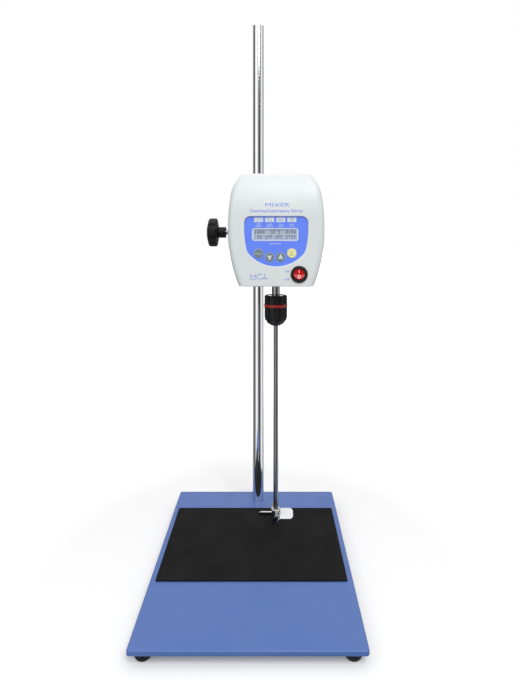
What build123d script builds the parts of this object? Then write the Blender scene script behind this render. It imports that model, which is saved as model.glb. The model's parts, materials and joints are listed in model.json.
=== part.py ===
from build123d import *
import os
from math import cos, pi, radians, sin, tan

# Overhead laboratory stirrer on a plate stand. Units are millimetres.
# The origin is on the bench under the middle of the base plate: +X right, +Y to the back, +Z up.

# ---- stand ----
plate_width = 260
plate_depth = 360
plate_thick = 6
plate_corner = 4
foot_height = 12
foot_radius = 10
foot_inset = 15.5
foot_seat = 5
mat_width = 245
mat_depth = 184
mat_thick = 2
mat_centre_y = 28
rod_x = 4
rod_y = 150
rod_radius = 9
rod_length = 790
rod_chamfer = 2
rod_thread_radius = 5
rod_thread_depth = 27

# ---- head ----
head_x = 32
head_low = 389
head_high = 544.9
face_y = -19
back_y = 125
seam_y = 70
seam_chamfer = 0.4
wall = 2.5
head_half_width = 66.3
widest_z = 467
lower_side_radius = 211
upper_side_radius = 300
upper_side_turn = 9
shoulder_radius = 53
brow_z = 488
brow_radius = 120
brow_turn = 40
brow_corner = 14
back_corner = 10
edge_radius = 9
bottom_edge_radius = 1.8
boss_radius = 5
boss_front_end_y = 45
screw_seat_y = 115
top_boss = (42, 522)
bottom_boss = (40, 404)

# ---- control panel ----
controls_x = 30.6
panel_half_width = 43.4
panel_top_z = 484.6
panel_shoulder_z = 468.8
panel_arc_radius = 49
panel_corner = 8.6
panel_low_corner = 17
panel_overlap = 3
panel_waist_radius = 130
panel_waist_turn = 14.5
panel_thick = 1.8
display_z = 459.9
window_width = 58.9
window_height = 14.6
key_proud = 1.2
board_y = -5
board_thick = 1.6
board_width = 112
board_low_z = 422
board_high_z = 484
board_post = (52, 26)
rocker_x = 63.1
rocker_z = 406
bezel_radius = 11.6
bezel_proud = 2.4
rocker_tilt = 20
rocker_pivot_y = -18.6
rocker_ball = 7.6
rocker_well = 7.8
rocker_top_y = -20.6

inlet_x = 70
inlet_z = 428
inlet_radius = 5.4
lead_radius = 0.8
vent_spots = [(head_x, z) for z in (500, 507, 514, 521)]

# ---- stirring line ----
spindle_x = head_x
spindle_y = 39.2
spindle_radius = 6
spindle_low = 360
spindle_high = 473
bearing_mids = (404, 448)
bearing_half = 4
ring_radii = (6, 8.4, 11.6, 14)
ball_radius = 2.38
ball_circle = 10
ball_gap = 0.05
ball_count = 8
running = 0.05

# ---- drive ----
shelf_low = 452
shelf_high = 455
shelf_front_y = 14
shelf_width = 104
flange_top_z = 492
motor_y = 92
motor_radius = 26
motor_low = 396
rotor_slots = 9
magnet_low = 404
magnet_length = 36
motor_pulley_radius = 9
spindle_pulley_radius = 20
pulley_low = 459
pulley_high = 471
flange_rise = 2
flange_thick = 1.7
belt_gap = 0.2
belt_thick = 1.6
belt_low = 461
belt_high = 469

# ---- chuck ----
nose_low = 327.2
nose_top = 334.5
ring_low = 354.6
ring_high = 358.6
chuck_top = 371.4
cap_low = chuck_top - 2
cap_radius = 12.3
collar_low = 351.5
collar_radius = 13
sleeve_radius = 16.8
sleeve_inner = 15
shaft_bore = 5.2
neck_radius = 9.4
jaw_tilt = 15
jaw_radius = 2.5
jaw_start_radius = 3.0
jaw_length = 20.6
jaw_low = 328.2
grip_radius = 3.55
jaw_gap = 0.08
nut_low = 340
nut_high = 349
flute_count = 8
flute_radius = 4.4
flute_depth = 1.1

# ---- shaft and propeller ----
shaft_radius = 3.5
shaft_low = 42
shaft_high = 344
propeller_radius = 25
hub_radius = 7
hub_low = 44
hub_high = 60
blade_width = 15
blade_thick = 1.4
blade_corner = 5

# ---- rod clamp ----
clamp_z = 463
block_half_height = 21
bush_outer = 11.5
bush_flange = 2
stud_radius = 4
knob_radius = 23.3
knob_left = -81.4
knob_right = -61.3
knob_hub_radius = 9
knob_hub_right = -49.4
knob_lobes = 7
stud_plane = Plane(origin=(0, rod_y, clamp_z), x_dir=(0, 1, 0), z_dir=(1, 0, 0))

plate_top = foot_height + plate_thick
foot_x = plate_width / 2 - foot_inset
foot_y = plate_depth / 2 - foot_inset
foot_spots = [(x, y) for x in (-foot_x, foot_x) for y in (-foot_y, foot_y)]
inner_face_y = face_y + wall
bolt_spots = [(x, z) for x in (-8, 44) for z in (460.5, 479)]
keys = {
    "select_key": (7.9, 434.1, 5.8),
    "down_key": (23.1, 429.2, 5.8),
    "up_key": (38.1, 429.2, 5.8),
    "start_key": (53.2, 434.6, 6.2),
}

os.makedirs("parts", exist_ok=True)


def finish(piece, name):
    """Label a finished piece and write it."""
    piece.part.label = name
    export_step(piece.part, f"parts/{name}.step")


def front_plane(y, x=0):
    """An upright plane across the object at depth y: local x is +X, local y is +Z, normal -Y."""
    return Plane(origin=(x, y, 0), x_dir=(1, 0, 0), z_dir=(0, -1, 0))


def side_of(plane):
    """The plane through another plane's origin that holds that plane's normal as its local y."""
    return Plane(origin=plane.origin, x_dir=plane.x_dir, z_dir=-plane.y_dir)


def turned(planes, profile):
    """Turn a half profile of (radius, height) points about the normal of each plane."""
    with BuildPart() as piece:
        for plane in planes:
            with BuildSketch(side_of(plane)):
                with BuildLine():
                    Polyline(*profile, close=True)
                make_face()
            revolve(axis=Axis(plane.origin, plane.z_dir))
    return piece


def upright(x, y):
    """The plane on the bench whose normal is the upright line at x, y."""
    return Plane(origin=(x, y, 0), x_dir=(1, 0, 0), z_dir=(0, 0, 1))


def fasteners(planes, head, shank, socket):
    """Screws seated on the planes: head and shank are (radius, length), socket the key's radius."""
    head_radius, head_height = head
    shank_radius, shank_length = shank
    profile = [
        (0, -shank_length),
        (shank_radius - 0.4, -shank_length),
        (shank_radius, -shank_length + 0.4),
        (shank_radius, 0),
        (head_radius, 0),
        (head_radius, head_height * 0.6),
        (head_radius * 0.8, head_height),
        (0, head_height),
    ]
    with BuildPart() as group:
        add(turned(planes, profile).part)
        for plane in planes:
            with BuildSketch(plane.offset(head_height)):
                RegularPolygon(socket, 6)
            extrude(amount=-head_height * 0.6, mode=Mode.SUBTRACT)
    return group


# ---------------------------------------------------------------- stand

with BuildPart() as base_plate:
    with BuildSketch(Plane.XY.offset(foot_height)):
        RectangleRounded(plate_width, plate_depth, plate_corner)
    extrude(amount=plate_thick)
    fillet(edges().group_by(Axis.Z)[-1], 1.6)
    fillet(edges().group_by(Axis.Z)[0], 0.8)
    with BuildSketch(Plane.XY.offset(foot_height)):
        with Locations(*foot_spots):
            Circle(2.05)
    extrude(amount=plate_thick - 1, mode=Mode.SUBTRACT)
    with BuildSketch(Plane.XY.offset(foot_height)):
        with Locations((rod_x, rod_y)):
            Circle(rod_thread_radius + 0.25)
    extrude(amount=plate_thick, mode=Mode.SUBTRACT)
finish(base_plate, "base_plate")

with BuildPart() as rubber_mat:
    with BuildSketch(Plane.XY.offset(plate_top)):
        with Locations((0, mat_centre_y)):
            RectangleRounded(mat_width, mat_depth, 2)
    extrude(amount=mat_thick)
    fillet(edges().group_by(Axis.Z)[-1], 0.5)
finish(rubber_mat, "rubber_mat")

with BuildPart() as rubber_feet:
    for spot in foot_spots:
        with BuildSketch(side_of(upright(*spot))):
            with BuildLine():
                Polyline((4.6, 0), (4.6, foot_seat), (2.2, foot_seat), (2.2, foot_height))
                Polyline((2.2, foot_height), (foot_radius, foot_height), (foot_radius, 6))
                ThreePointArc((foot_radius, 6), (foot_radius * 0.92, 2.4), (7, 0))
                Line((7, 0), (4.6, 0))
            make_face()
        revolve(axis=Axis((*spot, 0), (0, 0, 1)))
finish(rubber_feet, "rubber_feet")

foot_screw_planes = [Plane(origin=(*spot, foot_seat), z_dir=(0, 0, -1)) for spot in foot_spots]
foot_screws = fasteners(foot_screw_planes, (4, 2.6), (2, 11.4), 1.4)
finish(foot_screws, "foot_screws")

stand_rod = turned(
    [upright(rod_x, rod_y)],
    [
        (rod_thread_radius, plate_top),
        (rod_radius, plate_top),
        (rod_radius, plate_top + rod_length - rod_chamfer),
        (rod_radius - rod_chamfer, plate_top + rod_length),
        (0, plate_top + rod_length),
        (0, plate_top + rod_thread_depth),
        (rod_thread_radius, plate_top + rod_thread_depth),
    ],
)
finish(stand_rod, "stand_rod")

with BuildPart() as rod_washer:
    with BuildSketch(Plane.XY.offset(foot_height - 2)):
        with Locations((rod_x, rod_y)):
            Circle(10.5)
            Circle(rod_thread_radius + 0.25, mode=Mode.SUBTRACT)
    extrude(amount=2)
finish(rod_washer, "rod_washer")

with BuildPart() as rod_screw:
    with BuildSketch(Plane.XY.offset(foot_height - 2 - 6.4)):
        with Locations((rod_x, rod_y)):
            RegularPolygon(9.2, 6)
    extrude(amount=6.4)
    with BuildSketch(Plane.XY.offset(foot_height - 2)):
        with Locations((rod_x, rod_y)):
            Circle(rod_thread_radius - running)
    extrude(amount=28)
finish(rod_screw, "rod_screw")


# ---------------------------------------------------------------- head housing


def head_form(inset):
    """The head's rounded body, drawn in by inset on every side."""
    low_z = head_low + inset
    high_z = head_high - inset
    front = face_y + inset
    back = back_y - inset
    side = (head_half_width - inset, widest_z)
    with BuildPart() as form:
        with BuildSketch(front_plane(0, head_x)):
            with BuildLine():
                low = JernArc(side, (0, -1), lower_side_radius - inset, -28)
                high = JernArc(side, (0, 1), upper_side_radius - inset, upper_side_turn)
                shoulder = JernArc(high @ 1, high % 1, shoulder_radius - inset, 68)
                mirror(about=Plane.YZ)
                Line(low @ 1, (-(low @ 1).X, (low @ 1).Y))
                Line(shoulder @ 1, (-(shoulder @ 1).X, (shoulder @ 1).Y))
            make_face()
        extrude(amount=2 * back_y, both=True)
        with BuildSketch(Plane.YZ):
            with BuildLine():
                up = Line((front, low_z), (front, brow_z))
                brow = JernArc(up @ 1, (0, 1), brow_radius - inset, -brow_turn)
                top = Line(brow @ 1, (back, (brow @ 1).Y))
                down = Line(top @ 1, (back, low_z))
                Line(down @ 1, up @ 0)
            make_face()
            with Locations((0, high_z)):
                Rectangle(3 * back_y, back_y, align=(Align.CENTER, Align.MIN), mode=Mode.SUBTRACT)
            tops = vertices().group_by(Axis.Y)[-1].sort_by(Axis.X)
            fillet(tops[0], brow_corner - inset)
            tops = vertices().group_by(Axis.Y)[-1].sort_by(Axis.X)
            fillet(tops[-1], back_corner - inset)
        extrude(amount=2 * back_y, both=True, mode=Mode.INTERSECT)
        rims = [edge for edge in edges() if edge.geom_type != GeomType.LINE]
        crests = edges().filter_by(Axis.Y).group_by(Axis.Z)[-1]
        fillet(rims + crests, edge_radius - inset)
        if not inset:
            fillet(faces().sort_by(Axis.Z)[0].outer_wire().edges(), bottom_edge_radius)
    return form


def panel_outline(grow=0):
    """The control panel's outline, grown by grow, about the middle of the head."""
    half_width = panel_half_width + grow
    top_z = panel_top_z + grow
    with BuildSketch() as outline:
        with BuildLine():
            crown = Line((0, top_z), (half_width, top_z))
            side = Line(crown @ 1, (half_width, panel_shoulder_z))
            waist = JernArc(side @ 1, (0, -1), panel_waist_radius + grow, -panel_waist_turn)
            mirror(about=Plane.YZ)
            RadiusArc(waist @ 1, (-(waist @ 1).X, (waist @ 1).Y), panel_arc_radius + grow)
        make_face()
        fillet(vertices().group_by(Axis.Y)[-1], panel_corner + grow)
        fillet(vertices().group_by(Axis.Y)[0], panel_low_corner + grow)
    return outline.sketch


outer_form = head_form(0)
inner_form = head_form(wall)
rocker_plane = Plane(origin=(rocker_x, face_y, rocker_z), x_dir=(1, 0, 0), z_dir=(0, -1, 0))
spindle_plane = upright(spindle_x, spindle_y)
motor_plane = upright(head_x, motor_y)
post_z = (board_low_z + board_high_z) / 2
post_spots = [
    (head_x + x, post_z + z) for x in (-board_post[0], board_post[0]) for z in (-board_post[1], board_post[1])
]
boss_spots = [(head_x + side * x, z) for x, z in (top_boss, bottom_boss) for side in (-1, 1)]

with BuildPart() as front_shell:
    add(outer_form.part)
    add(inner_form.part, mode=Mode.SUBTRACT)
    with BuildSketch(front_plane(seam_y)):
        for side in (-1, 1):
            for x, z in (top_boss, bottom_boss):
                with Locations((head_x + side * x, z)):
                    Circle(boss_radius)
                with Locations((head_x + side * (x + 10), z)):
                    Rectangle(20, 3)
    extrude(amount=seam_y - boss_front_end_y)
    with BuildSketch(front_plane(board_y)):
        with Locations(*post_spots):
            Circle(3)
    extrude(amount=board_y - inner_face_y + 0.5)
    add(outer_form.part, mode=Mode.INTERSECT)
    split(bisect_by=front_plane(seam_y), keep=Keep.TOP)
    with BuildSketch(front_plane(seam_y)):
        with Locations(*boss_spots):
            Circle(1.75)
    extrude(amount=20, mode=Mode.SUBTRACT)
    with BuildSketch(front_plane(board_y)):
        with Locations(*post_spots):
            Circle(1.5)
    extrude(amount=8, mode=Mode.SUBTRACT)
    with BuildSketch(front_plane(inner_face_y, head_x)):
        add(panel_outline())
    extrude(amount=wall, mode=Mode.SUBTRACT)
    with BuildSketch(rocker_plane):
        Circle(10.1)
    extrude(amount=-wall, mode=Mode.SUBTRACT)
    with BuildSketch(Plane.XY.offset(head_low)):
        with Locations((spindle_x, spindle_y)):
            Circle(12)
    extrude(amount=wall, mode=Mode.SUBTRACT)
    rim = faces().filter_by(Axis.Y).sort_by(Axis.Y)[0].inner_wires().sort_by(SortBy.LENGTH)[-1]
    fillet(rim.edges(), 1.2)
    chamfer(faces().filter_by(Axis.Y).sort_by(Axis.Y)[-1].outer_wire().edges(), seam_chamfer)
finish(front_shell, "front_shell")

with BuildPart() as rear_cover:
    add(outer_form.part)
    add(inner_form.part, mode=Mode.SUBTRACT)
    with BuildSketch(front_plane(back_y)):
        with Locations(*boss_spots):
            Circle(boss_radius)
    extrude(amount=back_y - seam_y)
    split(bisect_by=front_plane(seam_y), keep=Keep.BOTTOM)
    with BuildSketch(front_plane(back_y)):
        with Locations(*boss_spots):
            Circle(3.9)
    extrude(amount=back_y - screw_seat_y, mode=Mode.SUBTRACT)
    with BuildSketch(front_plane(back_y)):
        with Locations(*boss_spots):
            Circle(1.9)
        with Locations(*bolt_spots):
            Circle(2.7)
        with Locations((inlet_x, inlet_z)):
            Circle(inlet_radius + running)
        with Locations(*vent_spots):
            SlotOverall(38, 3)
    extrude(amount=back_y - seam_y, mode=Mode.SUBTRACT)
    chamfer(faces().filter_by(Axis.Y).sort_by(Axis.Y)[0].outer_wire().edges(), seam_chamfer)
finish(rear_cover, "rear_cover")

housing_planes = [
    Plane(origin=(x, screw_seat_y, z), x_dir=(1, 0, 0), z_dir=(0, 1, 0)) for x, z in boss_spots
]
housing_screws = fasteners(housing_planes, (3.5, 2.4), (1.7, screw_seat_y - seam_y + 18), 1.3)
finish(housing_screws, "housing_screws")

# ---------------------------------------------------------------- chassis and rod clamp

shelf_depth = back_y - wall - shelf_front_y
screw_ring = 21.5
motor_screw_x = 17
with BuildPart() as chassis:
    with BuildSketch(Plane.XY.offset(shelf_low)):
        with Locations((head_x, shelf_front_y)):
            Rectangle(shelf_width, shelf_depth, align=(Align.CENTER, Align.MIN))
        with Locations((spindle_x, spindle_y)):
            Circle(12.8, mode=Mode.SUBTRACT)
            with PolarLocations(screw_ring, 4, start_angle=45):
                Circle(2.1, mode=Mode.SUBTRACT)
        with Locations((head_x, motor_y)):
            Circle(8.2, mode=Mode.SUBTRACT)
        with Locations((head_x - motor_screw_x, motor_y), (head_x + motor_screw_x, motor_y)):
            Circle(2.1, mode=Mode.SUBTRACT)
    extrude(amount=shelf_high - shelf_low)
    with BuildSketch(front_plane(back_y - wall)):
        with Locations((head_x, shelf_low)):
            Rectangle(shelf_width, flange_top_z - shelf_low, align=(Align.CENTER, Align.MIN))
        with Locations(*bolt_spots):
            Circle(2.7, mode=Mode.SUBTRACT)
    extrude(amount=shelf_high - shelf_low)
finish(chassis, "chassis")

with BuildPart() as clamp_block:
    with BuildSketch(Plane.XY.offset(clamp_z - block_half_height)):
        with Locations((17, back_y)):
            Rectangle(70, 20, align=(Align.CENTER, Align.MIN))
        with Locations((rod_x, rod_y)):
            Circle(22)
    extrude(amount=2 * block_half_height)
    chamfer(edges().group_by(Axis.Z)[0] + edges().group_by(Axis.Z)[-1], 1)
    with BuildSketch(stud_plane.offset(-24)):
        Circle(9)
    extrude(amount=14)
    with BuildSketch(Plane.XY.offset(clamp_z - block_half_height)):
        with Locations((rod_x, rod_y)):
            Circle(bush_outer + running)
    extrude(amount=2 * block_half_height, mode=Mode.SUBTRACT)
    with BuildSketch(stud_plane.offset(-24)):
        Circle(stud_radius)
    extrude(amount=20, mode=Mode.SUBTRACT)
    with BuildSketch(front_plane(back_y)):
        with Locations(*bolt_spots):
            Circle(2.5)
    extrude(amount=-14, mode=Mode.SUBTRACT)
finish(clamp_block, "clamp_block")

bolt_planes = [
    Plane(origin=(x, back_y - wall - 3, z), x_dir=(1, 0, 0), z_dir=(0, -1, 0)) for x, z in bolt_spots
]
clamp_bolts = fasteners(bolt_planes, (4.2, 5), (2.45, 17), 2.2)
finish(clamp_bolts, "clamp_bolts")

bush_low = clamp_z - block_half_height
bush_high = clamp_z + block_half_height
bush_inner = rod_radius + running
with BuildPart() as guide_bushes:
    for flange_z, out in ((bush_low - 0.1, -1), (bush_high + 0.1, 1)):
        with BuildSketch(Plane.XY.offset(flange_z)):
            with Locations((rod_x, rod_y)):
                Circle(bush_outer + 2)
                Circle(bush_inner, mode=Mode.SUBTRACT)
        extrude(amount=out * bush_flange)
        with BuildSketch(Plane.XY.offset(flange_z)):
            with Locations((rod_x, rod_y)):
                Circle(bush_outer)
                Circle(bush_inner, mode=Mode.SUBTRACT)
        extrude(amount=-out * 10)
finish(guide_bushes, "guide_bushes")

pad_end = rod_x - rod_radius - running
stud_end = pad_end - 3.95
with BuildPart() as clamp_pad:
    with BuildSketch(stud_plane.offset(pad_end)):
        Circle(stud_radius - 0.2)
    extrude(amount=-3.85)
finish(clamp_pad, "clamp_pad")

with BuildPart() as clamp_stud:
    with BuildSketch(stud_plane.offset(stud_end)):
        Circle(stud_radius - running)
    extrude(amount=knob_hub_right - 12 - stud_end)
    chamfer(edges().group_by(Axis.X)[-1], 0.8)
finish(clamp_stud, "clamp_stud")

with BuildPart() as clamp_knob:
    with BuildSketch(side_of(stud_plane)):
        with BuildLine():
            ThreePointArc((0, knob_left), (9.5, knob_left + 0.8), (19, knob_left + 3.2))
            ThreePointArc((19, knob_left + 3.2), (22.2, knob_left + 4.6), (knob_radius, knob_left + 7))
            Line((knob_radius, knob_left + 7), (knob_radius, knob_right - 5))
            ThreePointArc((knob_radius, knob_right - 5), (22.4, knob_right - 3.2), (20, knob_right - 2.2))
            Line((20, knob_right - 2.2), (knob_hub_radius, knob_right))
            Line((knob_hub_radius, knob_right), (knob_hub_radius, knob_hub_right - 0.8))
            Line((knob_hub_radius, knob_hub_right - 0.8), (knob_hub_radius - 0.8, knob_hub_right))
            Line((knob_hub_radius - 0.8, knob_hub_right), (0, knob_hub_right))
            Line((0, knob_hub_right), (0, knob_left))
        make_face()
    revolve(axis=Axis(stud_plane.origin, stud_plane.z_dir))
    with BuildSketch(stud_plane.offset(knob_left)):
        with PolarLocations(knob_radius + 6, knob_lobes):
            Circle(8.6)
    extrude(amount=knob_right - knob_left, mode=Mode.SUBTRACT)
    with BuildSketch(stud_plane.offset(knob_hub_right)):
        Circle(stud_radius - running)
    extrude(amount=-12, mode=Mode.SUBTRACT)
finish(clamp_knob, "clamp_knob")

# ---------------------------------------------------------------- spindle and bearings

inner_bore, inner_rim, outer_rim, outer_seat = ring_radii
race_radius = ball_radius + ball_gap

housing_bore = 12.6
housing_flange = 5
housing_blank = turned(
    [spindle_plane],
    [
        (housing_bore, 397),
        (17.5, 397),
        (17.5, shelf_low - housing_flange),
        (25.5, shelf_low - housing_flange),
        (25.5, shelf_low),
        (outer_seat, shelf_low),
        (outer_seat, 400),
        (housing_bore, 400),
    ],
)
with BuildPart() as bearing_housing:
    add(housing_blank.part)
    with BuildSketch(Plane.XY.offset(shelf_low)):
        with Locations((spindle_x, spindle_y)):
            with PolarLocations(screw_ring, 4, start_angle=45):
                Circle(2)
    extrude(amount=-housing_flange, mode=Mode.SUBTRACT)
finish(bearing_housing, "bearing_housing")

chassis_screw_planes = [
    Plane(origin=(spindle_x + screw_ring * cos(turn), spindle_y + screw_ring * sin(turn), shelf_high))
    for turn in (pi / 4, 3 * pi / 4, 5 * pi / 4, 7 * pi / 4)
] + [Plane(origin=(head_x + side * motor_screw_x, motor_y, shelf_high)) for side in (-1, 1)]
chassis_screws = fasteners(chassis_screw_planes, (3.4, 2.4), (1.95, 7.5), 1.3)
finish(chassis_screws, "chassis_screws")


def bearing_rings(low_radius, high_radius):
    """One ring of each bearing, with its ball race."""
    with BuildPart() as rings:
        for middle in bearing_mids:
            with BuildSketch(side_of(spindle_plane)):
                with Locations(((low_radius + high_radius) / 2, middle)):
                    Rectangle(high_radius - low_radius, 2 * bearing_half)
                with Locations((ball_circle, middle)):
                    Circle(race_radius, mode=Mode.SUBTRACT)
            revolve(axis=Axis(spindle_plane.origin, spindle_plane.z_dir))
    return rings


finish(bearing_rings(outer_rim, outer_seat), "bearing_outer_rings")
finish(bearing_rings(inner_bore, inner_rim), "bearing_inner_rings")

with BuildPart() as bearing_spacer:
    with BuildSketch(Plane.XY.offset(bearing_mids[0] + bearing_half)):
        with Locations((spindle_x, spindle_y)):
            Circle(outer_seat - running)
            Circle(housing_bore, mode=Mode.SUBTRACT)
    extrude(amount=bearing_mids[1] - bearing_mids[0] - 2 * bearing_half)
finish(bearing_spacer, "bearing_spacer")

with BuildPart() as bearing_balls:
    for middle in bearing_mids:
        with Locations(Location((spindle_x, spindle_y, middle))):
            with PolarLocations(ball_circle, ball_count):
                Sphere(ball_radius)
finish(bearing_balls, "bearing_balls")

with BuildPart() as bearing_cages:
    for middle in bearing_mids:
        with BuildSketch(Plane.XY.offset(middle - 3.2)):
            with Locations((spindle_x, spindle_y)):
                Circle(10.7)
                Circle(9.3, mode=Mode.SUBTRACT)
        extrude(amount=6.4)
        with Locations(Location((spindle_x, spindle_y, middle))):
            with PolarLocations(ball_circle, ball_count):
                Cylinder(race_radius, 4, rotation=(0, 90, 0), mode=Mode.SUBTRACT)
finish(bearing_cages, "bearing_cages")

spindle = turned(
    [spindle_plane],
    [
        (0, spindle_low),
        (spindle_radius - 0.8, spindle_low),
        (spindle_radius, spindle_low + 0.8),
        (spindle_radius, 398.8),
        (spindle_radius - 0.5, 398.8),
        (spindle_radius - 0.5, 400),
        (spindle_radius, 400),
        (spindle_radius, spindle_high - 0.8),
        (spindle_radius - 0.8, spindle_high),
        (0, spindle_high),
    ],
)
finish(spindle, "spindle")

with BuildPart() as spindle_circlip:
    with BuildSketch(Plane.XY.offset(398.8)):
        with Locations((spindle_x, spindle_y)):
            Circle(8)
            Circle(spindle_radius - 0.5, mode=Mode.SUBTRACT)
            with Locations((0, -7)):
                Rectangle(5, 4, mode=Mode.SUBTRACT)
    extrude(amount=1.2)
finish(spindle_circlip, "spindle_circlip")

spindle_seal = turned(
    [spindle_plane],
    [
        (6.4, head_low + 0.2),
        (11.9, head_low + 0.2),
        (11.9, head_low + wall),
        (14, head_low + wall),
        (14, head_low + wall + 2),
        (6.4, head_low + wall + 2),
    ],
)
finish(spindle_seal, "spindle_seal")

# ---------------------------------------------------------------- motor and belt


def pulley(plane, groove_radius, bore, hub):
    """A flanged flat-belt pulley, with its hub given as (radius, lowest z)."""
    rim = groove_radius + flange_rise
    hub_rim, hub_end = hub
    return turned(
        [plane],
        [
            (bore, hub_end),
            (hub_rim, hub_end),
            (hub_rim, pulley_low),
            (rim, pulley_low),
            (rim, pulley_low + flange_thick),
            (groove_radius, pulley_low + flange_thick),
            (groove_radius, pulley_high - flange_thick),
            (rim, pulley_high - flange_thick),
            (rim, pulley_high),
            (bore, pulley_high),
        ],
    )


finish(pulley(spindle_plane, spindle_pulley_radius, spindle_radius, (8, 452.3)), "spindle_pulley")
finish(pulley(motor_plane, motor_pulley_radius, 3, (6, 456)), "motor_pulley")


def belt_path(gap):
    """The belt's line around both pulleys, gap away from their grooves."""
    with BuildSketch() as path:
        with Locations((spindle_x, spindle_y)):
            Circle(spindle_pulley_radius + gap)
        with Locations((head_x, motor_y)):
            Circle(motor_pulley_radius + gap)
        make_hull()
    return path.sketch


with BuildPart() as drive_belt:
    with BuildSketch(Plane.XY.offset(belt_low)):
        add(belt_path(belt_gap + belt_thick))
    extrude(amount=belt_high - belt_low)
    with BuildSketch(Plane.XY.offset(belt_low)):
        add(belt_path(belt_gap))
    extrude(amount=belt_high - belt_low, mode=Mode.SUBTRACT)
finish(drive_belt, "drive_belt")

can_blank = turned(
    [motor_plane],
    [
        (3 + running, motor_low),
        (motor_radius - 1, motor_low),
        (motor_radius, motor_low + 1),
        (motor_radius, shelf_low),
        (8, shelf_low),
        (8, shelf_low + 2),
        (3 + running, shelf_low + 2),
        (3 + running, shelf_low - 8),
        (7, shelf_low - 8),
        (7, shelf_low - 4),
        (motor_radius - 1.6, shelf_low - 4),
        (motor_radius - 1.6, motor_low + 2),
        (6, motor_low + 2),
        (6, motor_low + 6),
        (3 + running, motor_low + 6),
    ],
)
with BuildPart() as motor_can:
    add(can_blank.part)
    with BuildSketch(Plane.XY.offset(shelf_low)):
        with Locations((head_x - motor_screw_x, motor_y), (head_x + motor_screw_x, motor_y)):
            Circle(2)
    extrude(amount=-5, mode=Mode.SUBTRACT)
finish(motor_can, "motor_can")

magnet_outer = motor_radius - 1.65
with BuildPart() as motor_magnets:
    with BuildSketch(Plane.XY.offset(magnet_low)):
        with Locations((head_x, motor_y)):
            Circle(magnet_outer)
            Circle(21.4, mode=Mode.SUBTRACT)
            Rectangle(60, 18, mode=Mode.SUBTRACT)
    extrude(amount=magnet_length)
finish(motor_magnets, "motor_magnets")

with BuildPart() as motor_rotor:
    with BuildSketch(Plane.XY.offset(magnet_low + 1)):
        with Locations((head_x, motor_y)):
            Circle(20.8)
            Circle(3, mode=Mode.SUBTRACT)
            with PolarLocations(17.5, rotor_slots):
                SlotOverall(7.4, 3.2, mode=Mode.SUBTRACT)
    extrude(amount=magnet_length - 2)
finish(motor_rotor, "motor_rotor")

motor_shaft = turned(
    [motor_plane],
    [
        (0, motor_low + 0.5),
        (3, motor_low + 0.5),
        (3, spindle_high - 0.5),
        (2.5, spindle_high),
        (0, spindle_high),
    ],
)
finish(motor_shaft, "motor_shaft")

# ---------------------------------------------------------------- chuck

lean = tan(radians(jaw_tilt))
jaw_turns = (30, 150, 270)


def jaw_plane(turn, height):
    """The plane across a jaw's leaning line at a height, for a jaw at this angle round the spindle."""
    out = Vector(cos(radians(turn)), sin(radians(turn)), 0)
    reach = jaw_start_radius + (height - jaw_low) * lean
    start = Vector(spindle_x, spindle_y, height) + out * reach
    across = Vector(-out.Y, out.X, 0)
    along = out * sin(radians(jaw_tilt)) + Vector(0, 0, cos(radians(jaw_tilt)))
    return Plane(origin=start, x_dir=across, z_dir=along)


chuck_core = turned(
    [spindle_plane],
    [
        (shaft_bore, nose_low),
        (6.3, nose_low),
        (11.6, nose_low + 3),
        (13.6, nose_low + 5.6),
        (14, nose_top),
        (neck_radius, nose_top),
        (neck_radius, collar_low),
        (collar_radius, collar_low),
        (collar_radius, ring_high),
        (cap_radius, ring_high),
        (cap_radius, cap_low),
        (spindle_radius, cap_low),
        (spindle_radius, spindle_low),
        (shaft_bore, spindle_low),
    ],
)
with BuildPart() as chuck_body:
    add(chuck_core.part)
    for turn in jaw_turns:
        with BuildSketch(jaw_plane(turn, nose_low - 6)):
            Circle(jaw_radius + jaw_gap)
        extrude(amount=36, mode=Mode.SUBTRACT)
finish(chuck_body, "chuck_body")

for number, turn in enumerate(jaw_turns, start=1):
    facing = Vector(cos(radians(turn)), sin(radians(turn)), 0)
    with BuildPart() as chuck_jaw:
        with BuildSketch(jaw_plane(turn, jaw_low - 4)):
            Circle(jaw_radius)
        extrude(amount=jaw_length + 4)
        grip = Plane(origin=Vector(spindle_x, spindle_y, 0) + facing * grip_radius, z_dir=facing)
        split(bisect_by=grip, keep=Keep.TOP)
        split(bisect_by=Plane.XY.offset(jaw_low), keep=Keep.TOP)
    finish(chuck_jaw, f"chuck_jaw_{number}")


def jaw_edge(height):
    """The radius of the cone that just clears the jaws at this height."""
    return jaw_start_radius + (height - jaw_low) * lean + jaw_radius / cos(radians(jaw_tilt)) + 0.15


chuck_nut = turned(
    [spindle_plane],
    [
        (neck_radius + 0.1, nut_low),
        (sleeve_inner, nut_low),
        (sleeve_inner, nut_high),
        (jaw_edge(nut_high), nut_high),
        (neck_radius + 0.1, jaw_low + (neck_radius + 0.1 - jaw_edge(jaw_low)) / lean),
    ],
)
finish(chuck_nut, "chuck_nut")


def fluted(sleeve, low, high):
    """Cut the grip flutes round a sleeve between two heights."""
    with BuildPart() as piece:
        add(sleeve.part)
        with BuildSketch(Plane.XY.offset(low)):
            with Locations((spindle_x, spindle_y)):
                with PolarLocations(sleeve_radius + flute_radius - flute_depth, flute_count):
                    Circle(flute_radius)
        extrude(amount=high - low, mode=Mode.SUBTRACT)
    return piece


front_sleeve_blank = turned(
    [spindle_plane],
    [
        (sleeve_inner, nose_top + 0.4),
        (15.3, nose_top + 0.4),
        (15.9, nose_top + 2.4),
        (sleeve_radius, nose_top + 5.4),
        (sleeve_radius, ring_low),
        (sleeve_inner, ring_low),
    ],
)
finish(fluted(front_sleeve_blank, nose_top + 3.4, ring_low - 1), "chuck_front_sleeve")

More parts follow.
